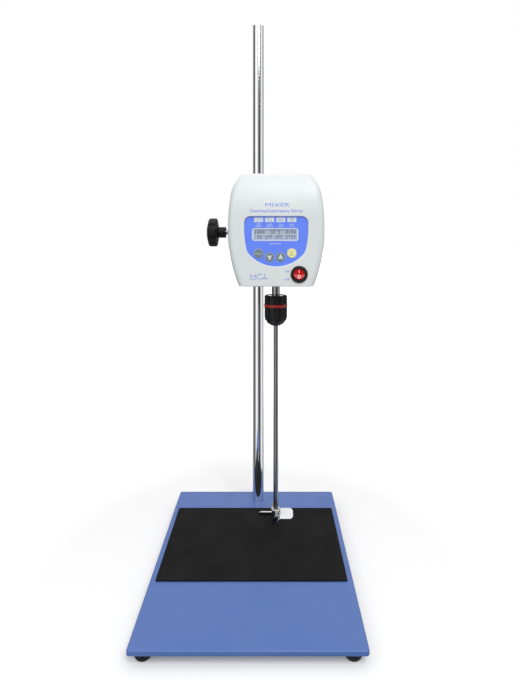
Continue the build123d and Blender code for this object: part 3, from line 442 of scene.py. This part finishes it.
def lettering(name, text, cx, cz, height, face, surface, width=None, weight=0.0, lift=0.00006):
    """Print a line of text, its capitals this high, about a centre, squeezed to a width if given."""
    curve = bpy.data.curves.new(name + "_line", "FONT")
    curve.body = text
    curve.offset = weight
    curve.resolution_u = 3
    source = bpy.data.objects.new(name + "_line", curve)
    bpy.context.scene.collection.objects.link(source)
    bpy.context.view_layer.update()
    mesh = bpy.data.meshes.new_from_object(source)
    bpy.data.objects.remove(source)
    xs = [v.co.x for v in mesh.vertices]
    capital = 0.73  # the height of a capital in Blender's own font at size 1
    scale = height / capital
    across = width / (max(xs) - min(xs)) if width else scale
    middle = (max(xs) + min(xs)) / 2
    for v in mesh.vertices:
        x = cx + (v.co.x - middle) * across
        z = cz + (v.co.y - capital / 2) * scale
        v.co = face.drop(x, z, lift)
    mesh.materials.clear()
    mesh.materials.append(surface.material)
    mesh.name = name
    turn_to_front(mesh)
    made = bpy.data.objects.new(name, mesh)
    bpy.context.scene.collection.objects.link(made)
    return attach(made, face.body)


# ---------------------------------------------------------------- printing on the head

shell_face = Face("front_shell", "head")
panel_face = Face("control_panel", "head")
shell_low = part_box("front_shell")[0]
glass_low, glass_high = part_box("display_glass")
window_x = (glass_low.x + glass_high.x) / 2
window_z = (glass_low.z + glass_high.z) / 2
window_w = glass_high.x - glass_low.x
window_h = glass_high.z - glass_low.z

lettering(
    "title_short", "MIXER", window_x + 3.2 * mm, window_z + 40.6 * mm, 5.2 * mm, shell_face, blue_ink, 33 * mm
)
lettering(
    "title_long",
    "Overhead Laboratory Stirrer",
    window_x + 1.6 * mm,
    window_z + 32.4 * mm,
    4.3 * mm,
    shell_face,
    blue_ink,
    73 * mm,
    0.012,
)

frame_band = 2.2 * mm
frame_gap = 0.1 * mm
frame_outside = rounded(window_x, window_z, window_w + 2 * frame_band, window_h + 1.3 * frame_band, 3.4 * mm)
frame_inside = rounded(window_x, window_z, window_w + frame_gap, window_h + frame_gap, 1.4 * mm)
printed("display_frame", [(frame_outside, frame_inside)], panel_face, white_ink)

tile_w, tile_h = 12.4 * mm, 6.1 * mm
tile_pitch = 15.1 * mm
tile_z = window_z + 20.0 * mm
tile_xs = [window_x + (i - 1.5) * tile_pitch for i in range(4)]
printed("label_tiles", [(rounded(x, tile_z, tile_w, tile_h, 0.5 * mm),) for x in tile_xs], panel_face, white_ink)

icon_line = 0.55 * mm
turn_x, swing_x, shake_x, clock_x = tile_xs


def arrow(x, z, angle, size):
    """A small arrow head that points along an angle."""
    a = math.radians(angle)
    tip = (x + size * math.cos(a), z + size * math.sin(a))
    barb, spread = size * 0.8, 2.1
    sides = [(x + barb * math.cos(a + s), z + barb * math.sin(a + s)) for s in (spread, -spread)]
    return ([tip, *sides],)


half = 2.2 * mm
loop_top = [(turn_x - half, tile_z + 1.5 * mm), (turn_x + half, tile_z + 1.5 * mm)]
loop_low = [(turn_x + half, tile_z - 1.5 * mm), (turn_x - half, tile_z - 1.5 * mm)]
loop_ends = [
    arc(turn_x + half, tile_z, 1.5 * mm, 90, 10),
    arc(turn_x - half, tile_z, 1.5 * mm, 270, 190),
]
swing = [
    arc(swing_x, tile_z, 1.7 * mm, 60, 165, stretch=1.5),
    arc(swing_x, tile_z, 1.7 * mm, 240, 345, stretch=1.5),
]
shake = [[(shake_x, tile_z - 2 * mm), (shake_x, tile_z + 2 * mm)]]
for side in (-1, 1):
    for out in (1.3, 2.4):
        shake.append(arc(shake_x, tile_z, out * mm, 90 - 90 * side - 40, 90 - 90 * side + 40))
clock = [
    arc(clock_x, tile_z, 2.1 * mm, 0, 360, 36),
    [(clock_x, tile_z + 1.4 * mm), (clock_x, tile_z), (clock_x + 1.0 * mm, tile_z - 0.5 * mm)],
]
strokes("tile_lines", [loop_top, loop_low, *loop_ends, *swing, *shake, *clock], icon_line, panel_face, icon_ink)
printed(
    "tile_arrows",
    [
        arrow(turn_x + half + 1.5 * mm, tile_z, -90, 0.9 * mm),
        arrow(turn_x - half - 1.5 * mm, tile_z, 90, 0.9 * mm),
        arrow(swing_x - 2.5 * mm, tile_z + 0.1 * mm, 250, 0.9 * mm),
        arrow(swing_x + 2.5 * mm, tile_z - 0.1 * mm, 70, 0.9 * mm),
    ],
    panel_face,
    icon_ink,
    0.00009,
)

labels = (("RPM", "(speed)"), ("angle", "(degree)"), ("vibro", "(pulse)"), ("timer", "(h:min)"))
bold = 0.01
for number, (x, words) in enumerate(zip(tile_xs, labels), start=1):
    for row, word, down in zip(("upper", "lower"), words, (5.6, 8.3)):
        name = f"label_{number}_{row}"
        lettering(name, word, x, tile_z - down * mm, 2.0 * mm, panel_face, white_ink, weight=bold)
lettering(
    "label_time", "time (sec.)", window_x, window_z - 12.1 * mm, 2.1 * mm, panel_face, white_ink, 16 * mm, bold
)


# ---------------------------------------------------------------- the display

dot_rows = {
    " ": "",
    "0": "01110 10001 10011 10101 11001 10001 01110",
    "1": "00100 01100 00100 00100 00100 00100 01110",
    "3": "11111 00010 00100 00010 00001 10001 01110",
    "4": "00010 00110 01010 10010 11111 00010 00010",
    "5": "11111 10000 11110 00001 00001 10001 01110",
    ":": "00000 01100 01100 00000 01100 01100 00000",
    "F": "11111 10000 10000 11110 10000 10000 10000",
    "O": "01110 10001 10001 10001 10001 10001 01110",
    "P": "11110 10001 10001 11110 10000 10000 10000",
    "S": "01111 10000 10000 01110 00001 00001 11110",
    "T": "11111 00100 00100 00100 00100 00100 00100",
}
dot_pitch = (0.6 * mm, 0.7 * mm)
dot_size = (0.59 * mm, 0.69 * mm)
letter_pitch = 3.55 * mm
row_pitch = 6.5 * mm
screen_y = glass_high.y + 0.04 * mm
dot_y = screen_y - 0.03 * mm
dots_across, dots_down = 5, 7


def dots(rows_of_text):
    """The corners of the lit and the idle dots of two lines of text."""
    lit, idle = [], []
    for line, text in enumerate(rows_of_text):
        for column, letter in enumerate(text):
            rows = dot_rows[letter].split() or ["0" * dots_across] * dots_down
            left = window_x + (column - 7.5) * letter_pitch - 2 * dot_pitch[0]
            top = window_z + (0.5 - line) * row_pitch + 3 * dot_pitch[1]
            for r, row in enumerate(rows):
                for c, state in enumerate(row):
                    centre = (left + c * dot_pitch[0], top - r * dot_pitch[1])
                    (lit if state == "1" else idle).append(centre)
    return lit, idle


def dot_mesh(name, centres, surface):
    """Square dots in the display, a hair in front of its back."""
    w, h = dot_size[0] / 2, dot_size[1] / 2
    points, faces = [], []
    for x, z in centres:
        n = len(points)
        points += [(x - w, dot_y, z - h), (x + w, dot_y, z - h), (x + w, dot_y, z + h), (x - w, dot_y, z + h)]
        faces.append((n, n + 1, n + 2, n + 3))
    return piece(name, points, faces, surface, "head")


lit_dots, idle_dots = dots(("1000  30 5  0:04", " 50 OFF OFF STOP"))
dot_mesh("display_lit_dots", lit_dots, lit_dot)
dot_mesh("display_idle_dots", idle_dots, idle_dot)
screen = rounded(window_x, window_z, window_w, window_h, 1.2 * mm)
piece(
    "display_screen",
    [(x, screen_y, z) for x, z in screen],
    [tuple(reversed(range(len(screen))))],
    liquid_crystal,
    "head",
)
turn_to_front(bpy.data.objects["display_screen"].data)


# ---------------------------------------------------------------- keys and switch


def centre_of(node):
    """The middle of a node's box in x and z."""
    low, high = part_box(node)
    return (low.x + high.x) / 2, (low.z + high.z) / 2


key_radius = {"select_key": 5.8, "down_key": 5.8, "up_key": 5.8, "start_key": 6.2}
ring_out, ring_in = 0.8, 0.25
key_rings = []
for key, radius in key_radius.items():
    x, z = centre_of(key)
    key_rings.append((circle(x, z, (radius + ring_out) * mm), circle(x, z, (radius + ring_in) * mm)))
printed("key_rings", key_rings, panel_face, ring_ink)

key_face = {key: Face(key, key) for key in key_radius}
select_x, select_z = centre_of("select_key")
lettering("select_word", "select", select_x, select_z, 2.0 * mm, key_face["select_key"], ring_ink, 9.2 * mm, bold)
start_x, start_z = centre_of("start_key")
for name, word, up in (("start_word", "Run", 1.9), ("stop_word", "Stop", -1.9)):
    lettering(name, word, start_x, start_z + up * mm, 1.9 * mm, key_face["start_key"], dark_ink, weight=bold)
for key, way in (("down_key", -1), ("up_key", 1)):
    x, z = centre_of(key)
    triangle = [
        (x - 3.3 * mm, z - way * 2.5 * mm),
        (x, z - way * 1.8 * mm),
        (x + 3.3 * mm, z - way * 2.5 * mm),
        (x + 0.4 * mm, z + way * 3.9 * mm),
        (x - 0.4 * mm, z + way * 3.9 * mm),
    ]
    printed(key + "_mark", [(triangle,)], key_face[key], white_ink)

switch_x, switch_z = centre_of("switch_body")
rocker_face = Face("rocker", "rocker")
mark_up = 3.3 * mm
on_bar = rounded(switch_x, switch_z + mark_up, 0.9 * mm, 3.8 * mm, 0.2 * mm)
off_outside = circle(switch_x, switch_z - mark_up, 1.95 * mm, stretch=1.15)
off_inside = circle(switch_x, switch_z - mark_up, 1.15 * mm, stretch=1.25)
printed("rocker_on_mark", [(on_bar,)], rocker_face, mark_ink)
printed("rocker_off_mark", [(off_outside, off_inside)], rocker_face, mark_ink)
for name, word, left, up, width in (
    ("switch_on_word", "ON", 16.2, 3.9, 6.4),
    ("switch_off_word", "OFF", 16.8, -6.9, 7.6),
):
    x, z = switch_x - left * mm, switch_z + up * mm
    lettering(name, word, x, z, 2.6 * mm, shell_face, blue_ink, width * mm, bold)

mark_x, mark_z = shell_low.x + 42 * mm, switch_z - 3.2 * mm


def sign(*points):
    """Points of the stirring sign, given in millimetres from its middle."""
    return [(mark_x + x * mm, mark_z + z * mm) for x, z in points]


beaker = sign((-11, 3.6), (-10, 3.2), (-10, -3.2), (-9.4, -4), (-4.6, -4), (-4, -3.2), (-4, 3.6))
level = sign((-9.6, 0.8), (-4.4, 0.8))
stir_turn = arc(mark_x + 1.5 * mm, mark_z, 3.4 * mm, 60, 330, 26)
paddle = [
    sign((8.5, 4.2), (8.5, -2.4)),
    sign((5.9, -2.4), (11.1, -2.4)),
    sign((5.9, -3.8), (5.9, -1.0)),
    sign((11.1, -3.8), (11.1, -1.0)),
]
strokes("stirring_signs", [beaker, level, stir_turn, *paddle], 0.8 * mm, shell_face, blue_ink)
printed("stirring_arrow", [arrow(mark_x + 3.5 * mm, mark_z + 2.9 * mm, -20, 1.5 * mm)], shell_face, blue_ink)


# ---------------------------------------------------------------- threaded clamp stud


def threaded(node, pitch, depth, body, slot):
    """A threaded stud along X in place of a plain one."""
    low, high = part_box(node)
    y, z = (low.y + high.y) / 2, (low.z + high.z) / 2
    radius = (high.y - low.y) / 2
    around = 28
    steps_a_turn = 8
    lead_in, end_cut = 6, 0.0006
    flank = 2.4
    steps = int((high.x - low.x) / pitch * steps_a_turn)
    points, faces = [], []
    for i in range(steps + 1):
        x = low.x + (high.x - low.x) * i / steps
        run = min(1.0, min(i, steps - i) / lead_in)
        for j in range(around):
            a = 2 * math.pi * j / around
            phase = ((x - low.x) / pitch - j / around) % 1.0
            crest = min(1.0, flank * abs(2 * phase - 1))
            r = radius - depth * (1 - crest) - end_cut * (1 - run)
            points.append((x, y + r * math.cos(a), z + r * math.sin(a)))
    for i in range(steps):
        for j in range(around):
            k = (j + 1) % around
            faces.append((i * around + j, i * around + k, (i + 1) * around + k, (i + 1) * around + j))
    faces.append(tuple(range(around)))
    faces.append(tuple(reversed(range(steps * around, (steps + 1) * around))))
    made = piece(node + "_thread", points, faces, surfaces[slot], body)
    form = bmesh.new()
    form.from_mesh(made.data)
    bmesh.ops.recalc_face_normals(form, faces=form.faces)
    form.to_mesh(made.data)
    form.free()
    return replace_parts(made, node)


threaded("clamp_stud", 1.25 * mm, 0.62 * mm, "clamp_screw", "bright_steel")


# ---------------------------------------------------------------- studio

floor_mesh = bpy.data.meshes.new("floor")
reach = 14.0
corners = [(-reach, -reach, 0), (reach, -reach, 0), (reach, reach, 0), (-reach, reach, 0)]
floor_mesh.from_pydata(corners, [], [(0, 1, 2, 3)])
floor = bpy.data.objects.new("floor", floor_mesh)
bpy.context.scene.collection.objects.link(floor)
paper = Surface("studio_paper", (0.45, 0.45, 0.45, 1), 0.85, specular=0.05)
paper.mottle(paper.noise(3), (0.47, 0.47, 0.47, 1), 0.5)
floor_mesh.materials.append(paper.material)


def studio_paper_light(surface, shade, near, far):
    """Paper that fades to even white away from the object, and that polished metal doesn't mirror.

    The camera sees a paler paper than the one that throws light back on the object.
    """
    fade_start, fade_end = 0.28, 0.9
    n, link = surface.nodes, surface.links
    seen = n.new("ShaderNodeLightPath")
    away = n.new("ShaderNodeVectorMath")
    away.operation = "LENGTH"
    link.new(surface.coordinates, away.inputs[0])
    glow = n.new("ShaderNodeEmission")
    glow.inputs["Color"].default_value = (1, 1, 1, 1)
    link.new(surface.ranged(away.outputs["Value"], fade_start, fade_end, near, far), glow.inputs["Strength"])
    drawn = n.new("ShaderNodeBsdfDiffuse")
    drawn.inputs["Color"].default_value = (*[shade] * 3, 1)
    bright = n.new("ShaderNodeAddShader")
    link.new(drawn.outputs["BSDF"], bright.inputs[0])
    link.new(glow.outputs["Emission"], bright.inputs[1])
    to_camera = n.new("ShaderNodeMixShader")
    link.new(seen.outputs["Is Camera Ray"], to_camera.inputs["Fac"])
    link.new(surface.shader.outputs["BSDF"], to_camera.inputs[1])
    link.new(bright.outputs["Shader"], to_camera.inputs[2])
    clear = n.new("ShaderNodeBsdfTransparent")
    to_gloss = n.new("ShaderNodeMixShader")
    link.new(seen.outputs["Is Glossy Ray"], to_gloss.inputs["Fac"])
    link.new(to_camera.outputs["Shader"], to_gloss.inputs[1])
    link.new(clear.outputs["BSDF"], to_gloss.inputs[2])
    link.new(to_gloss.outputs["Shader"], n["Material Output"].inputs["Surface"])


studio_paper_light(paper, 0.8, 0.2, 1.05)


def world_light(profile, top, top_height, soft):
    """A studio round the object: brightness by compass direction, and a soft bright ceiling.

    Polished metal mirrors it at full strength; everything else is lit by a softer share of it.
    """
    world = bpy.data.worlds.new("studio")
    bpy.context.scene.world = world
    world.use_nodes = True
    n, link = world.node_tree.nodes, world.node_tree.links
    n.clear()
    split = n.new("ShaderNodeSeparateXYZ")
    link.new(n.new("ShaderNodeTexCoord").outputs["Generated"], split.inputs["Vector"])
    flip = n.new("ShaderNodeMath")
    flip.operation = "MULTIPLY"
    flip.inputs[1].default_value = -1.0
    link.new(split.outputs["Y"], flip.inputs[0])
    compass = n.new("ShaderNodeMath")
    compass.operation = "ARCTAN2"
    link.new(split.outputs["X"], compass.inputs[0])
    link.new(flip.outputs["Value"], compass.inputs[1])
    share = n.new("ShaderNodeMapRange")
    share.inputs["From Min"].default_value = -math.pi
    share.inputs["From Max"].default_value = math.pi
    link.new(compass.outputs["Value"], share.inputs["Value"])
    ramp = n.new("ShaderNodeValToRGB")
    link.new(share.outputs["Result"], ramp.inputs["Fac"])
    stops = ramp.color_ramp.elements
    for place, (angle, value) in enumerate(profile):
        stop = stops[place] if place < 2 else stops.new(1.0)
        stop.position = (angle + 180) / 360
        stop.color = (value, value, value, 1)
    rise = n.new("ShaderNodeMapRange")
    rise.interpolation_type = "SMOOTHSTEP"
    rise.inputs["From Min"].default_value = top_height[0]
    rise.inputs["From Max"].default_value = top_height[1]
    link.new(split.outputs["Z"], rise.inputs["Value"])
    mix = n.new("ShaderNodeMix")
    mix.data_type = "RGBA"
    link.new(rise.outputs["Result"], mix.inputs["Factor"])
    link.new(ramp.outputs["Color"], mix.inputs["A"])
    mix.inputs["B"].default_value = (top, top, top * 1.01, 1)
    studio = n.new("ShaderNodeBackground")
    link.new(mix.outputs["Result"], studio.inputs["Color"])
    backdrop = n.new("ShaderNodeBackground")
    backdrop.inputs["Color"].default_value = (1, 1, 1, 1)
    seen = n.new("ShaderNodeLightPath")
    choice = n.new("ShaderNodeMixShader")
    link.new(seen.outputs["Is Camera Ray"], choice.inputs["Fac"])
    link.new(studio.outputs["Background"], choice.inputs[1])
    link.new(backdrop.outputs["Background"], choice.inputs[2])
    strength = n.new("ShaderNodeMapRange")
    strength.inputs["To Min"].default_value = soft
    link.new(seen.outputs["Is Glossy Ray"], strength.inputs["Value"])
    link.new(strength.outputs["Result"], studio.inputs["Strength"])
    output = n.new("ShaderNodeOutputWorld")
    link.new(choice.outputs["Shader"], output.inputs["Surface"])


# Brightness by compass direction, in degrees from the front: 180 is behind the object.
studio_profile = [
    (-180, 0.9), (-160, 0.5), (-121, 0.4), (-92, 0.13), (-68, 0.2), (-50, 0.75),
    (-38, 1.35), (-16, 1.05), (4, 0.2), (26, 0.04), (46, 0.2), (62, 0.9),
    (76, 1.25), (92, 0.85), (108, 0.5), (135, 0.36), (162, 0.4), (180, 0.9),
]
world_light(studio_profile, top=1.5, top_height=(0.3, 0.8), soft=0.56)


def softbox(name, place, aim, size, power):
    """A large soft light that points at a place."""
    light = bpy.data.lights.new(name, "AREA")
    light.shape = "RECTANGLE"
    light.size, light.size_y = size
    light.energy = power
    made = bpy.data.objects.new(name, light)
    bpy.context.scene.collection.objects.link(made)
    made.location = place
    made.rotation_euler = (Vector(aim) - Vector(place)).to_track_quat("-Z", "Y").to_euler()


middle = (cad_low + cad_high) / 2
softbox("key_light", (0.5, -1.5, 1.75), middle, (0.9, 0.9), 23)
softbox("left_light", (-1.2, -1.1, 0.9), middle, (0.5, 1.4), 4)

camera_data = bpy.data.cameras.new("camera")
camera_data.lens = 28.67
camera_data.shift_x = -0.0182
camera_data.shift_y = -0.1613
camera_data.clip_end = 60
camera = bpy.data.objects.new("camera", camera_data)
bpy.context.scene.collection.objects.link(camera)
camera.location = (0.0236, -0.7618, 0.462)
camera.rotation_euler = (math.radians(90), 0, 0)
bpy.context.scene.camera = camera
bpy.context.scene.view_settings.view_transform = "Standard"
